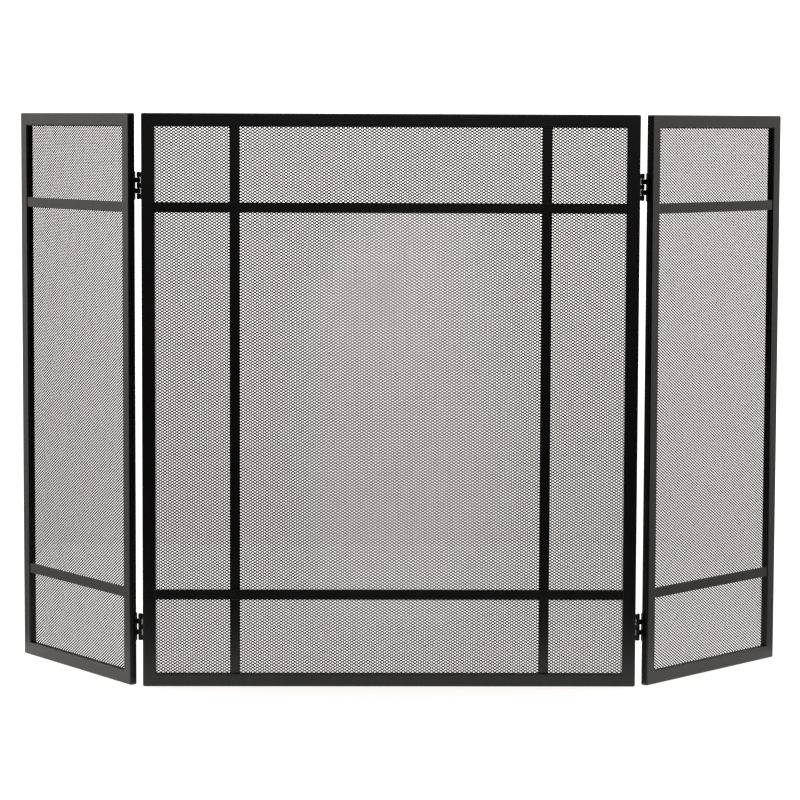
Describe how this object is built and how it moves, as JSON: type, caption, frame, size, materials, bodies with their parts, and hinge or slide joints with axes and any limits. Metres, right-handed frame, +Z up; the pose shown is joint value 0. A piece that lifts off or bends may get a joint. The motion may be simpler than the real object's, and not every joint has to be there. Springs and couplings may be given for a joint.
{
  "type": "fireplace screen",
  "caption": "Free-standing folding fireplace screen: a wide centre panel and two hinged wings of steel tube, flat bars and expanded metal mesh, in satin black.",
  "frame": {"origin": "on the floor plane, under the middle of the centre panel, at the middle of its tubes' depth", "axes": "+X to the right seen from the front, +Y back towards the hearth, +Z up; the front faces -Y"},
  "size_m": [1.1641, 0.2894, 0.838],
  "materials": {
    "frame_tube": "satin black powder coat on steel tube",
    "flat_bar": "satin black powder coat on steel bar",
    "mesh": "satin black powder coat on expanded steel mesh",
    "hinge_leaf": "satin black enamel on pressed steel",
    "hinge_pin": "black pin, worn to steel at its peened heads",
    "screw": "black screw heads"
  },
  "bodies": {
    "centre_panel": {"centre_bottom_rail": "frame_tube", "centre_hinge_screws": "screw", "centre_left_bar": "flat_bar", "centre_left_stile": "frame_tube", "centre_lower_bar": "flat_bar", "centre_mesh": "mesh", "centre_right_bar": "flat_bar", "centre_right_stile": "frame_tube", "centre_top_rail": "frame_tube", "centre_upper_bar": "flat_bar", "lower_left_hinge_centre_leaf": "hinge_leaf", "lower_left_hinge_pin": "hinge_pin", "lower_right_hinge_centre_leaf": "hinge_leaf", "lower_right_hinge_pin": "hinge_pin", "upper_left_hinge_centre_leaf": "hinge_leaf", "upper_left_hinge_pin": "hinge_pin", "upper_right_hinge_centre_leaf": "hinge_leaf", "upper_right_hinge_pin": "hinge_pin"},
    "left_wing": {"left_bottom_rail": "frame_tube", "left_hinge_screws": "screw", "left_inner_stile": "frame_tube", "left_lower_bar": "flat_bar", "left_mesh": "mesh", "left_outer_stile": "frame_tube", "left_top_rail": "frame_tube", "left_upper_bar": "flat_bar", "lower_left_hinge_wing_leaf": "hinge_leaf", "upper_left_hinge_wing_leaf": "hinge_leaf"},
    "right_wing": {"lower_right_hinge_wing_leaf": "hinge_leaf", "right_bottom_rail": "frame_tube", "right_hinge_screws": "screw", "right_inner_stile": "frame_tube", "right_lower_bar": "flat_bar", "right_mesh": "mesh", "right_outer_stile": "frame_tube", "right_top_rail": "frame_tube", "right_upper_bar": "flat_bar", "upper_right_hinge_wing_leaf": "hinge_leaf"}
  },
  "joints": [
    {"name": "left_wing_fold", "type": "hinge", "parent": "centre_panel", "child": "left_wing", "pos_m": [-0.366, 0.00875, 0.419], "axis": [0, 0, -1], "range_deg": [-86, 124]},
    {"name": "right_wing_fold", "type": "hinge", "parent": "centre_panel", "child": "right_wing", "pos_m": [0.366, 0.00875, 0.419], "axis": [0, 0, 1], "range_deg": [-78, 132]}
  ]
}
